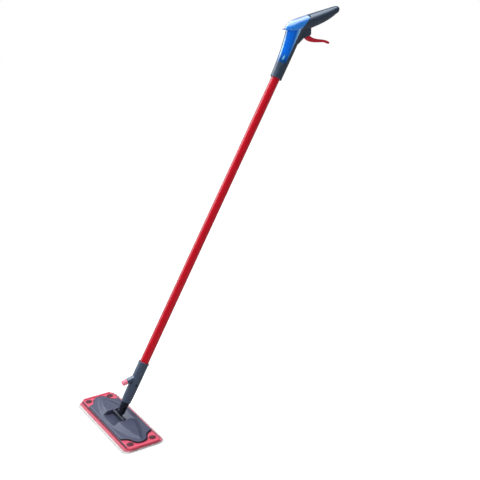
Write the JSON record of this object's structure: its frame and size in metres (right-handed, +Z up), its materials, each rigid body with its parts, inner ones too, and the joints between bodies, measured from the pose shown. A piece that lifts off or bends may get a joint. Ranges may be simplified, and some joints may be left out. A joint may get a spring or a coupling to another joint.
{
  "type": "spray mop",
  "caption": "Flat floor mop with a washable pad, two-axis joint, slim pole, spray nozzle and a pistol handle holding a clear tank, hinged lid, trigger and pump.",
  "frame": {"origin": "middle of the pad's underside, on the floor under the head's tilt axis", "axes": "+Z up from the floor, +X along the long side of the head, -Y the way the mop is pushed; the pole leans back towards +Y"},
  "size_m": [0.3, 0.7487, 1.0389],
  "materials": {
    "grip_plastic": "satin moulded",
    "clear_blue": "clear tinted",
    "red_paint": "gloss",
    "red_plastic": "gloss moulded",
    "slate_plastic": "satin moulded",
    "black_plastic": "satin moulded",
    "grey_plastic": "satin moulded",
    "gripper_rubber": "matte",
    "seal_rubber": "matte",
    "pale_seal": "satin",
    "steel": "bright",
    "hose_plastic": "clear",
    "white_plastic": "moulded",
    "pad_white": "microfibre pile",
    "pad_red": "woven",
    "hook_black": "hook tape",
    "edge_rubber": "matte"
  },
  "bodies": {
    "handle": {"handle_shell_right": "grip_plastic", "handle_shell_left": "grip_plastic", "handle_screws": "steel", "water_tank": "clear_blue", "lid_hinge_pin": "steel", "trigger_pin": "steel", "pump_body": "white_plastic", "pump_spring": "steel", "inlet_valve": "white_plastic", "outlet_valve": "white_plastic", "inlet_hose": "hose_plastic", "delivery_hose": "hose_plastic", "pole_tube": "red_paint", "nozzle_collar": "slate_plastic", "hose_fitting": "white_plastic", "collar_screw": "steel", "spray_nozzle": "red_plastic", "nozzle_seal": "seal_rubber", "joint_stem": "black_plastic", "stem_pivot_pin": "steel"},
    "lid": {"tank_lid": "clear_blue", "lid_gasket": "pale_seal"},
    "trigger": {"trigger": "red_plastic"},
    "piston": {"pump_piston": "white_plastic", "piston_seal": "seal_rubber"},
    "knuckle": {"joint_knuckle": "black_plastic"},
    "head": {"head_cover": "grey_plastic", "base_plate": "red_plastic", "edge_strips": "edge_rubber", "cover_underlay": "edge_rubber", "cloth_grippers": "gripper_rubber", "cover_screws": "steel", "hook_strips": "hook_black", "pad_backing": "pad_red", "pad_binding": "pad_red", "pad_pile": "pad_white", "barrel_pin": "steel"}
  },
  "joints": [
    {"name": "lid_hinge", "type": "hinge", "parent": "handle", "child": "lid", "pos_m": [0, 0.58328, 1.01639], "axis": [-1, 0, 0], "range_deg": [0, 75]},
    {"name": "trigger_pull", "type": "hinge", "parent": "handle", "child": "trigger", "pos_m": [0, 0.574, 0.96895], "axis": [1, 0, 0], "range_deg": [0, 18], "stiffness_Nm_per_rad": 2, "springref_deg": -5.73},
    {"name": "piston_stroke", "type": "slide", "parent": "handle", "child": "piston", "axis": [0, 0, 1], "range_m": [0, 0.00299], "deforming": ["pump_spring"]},
    {"name": "head_swivel", "type": "hinge", "parent": "handle", "child": "knuckle", "pos_m": [0, 0.0085, 0.03572], "axis": [0, -0.866, 0.5], "range_deg": [-50, 50]},
    {"name": "head_tilt", "type": "hinge", "parent": "knuckle", "child": "head", "pos_m": [0, 0, 0.021], "axis": [1, 0, 0], "range_deg": [-75, 35]}
  ],
  "couplings": [
    {"joint": "piston_stroke", "follows": "trigger_pull", "m_per_rad": 0.0095}
  ]
}
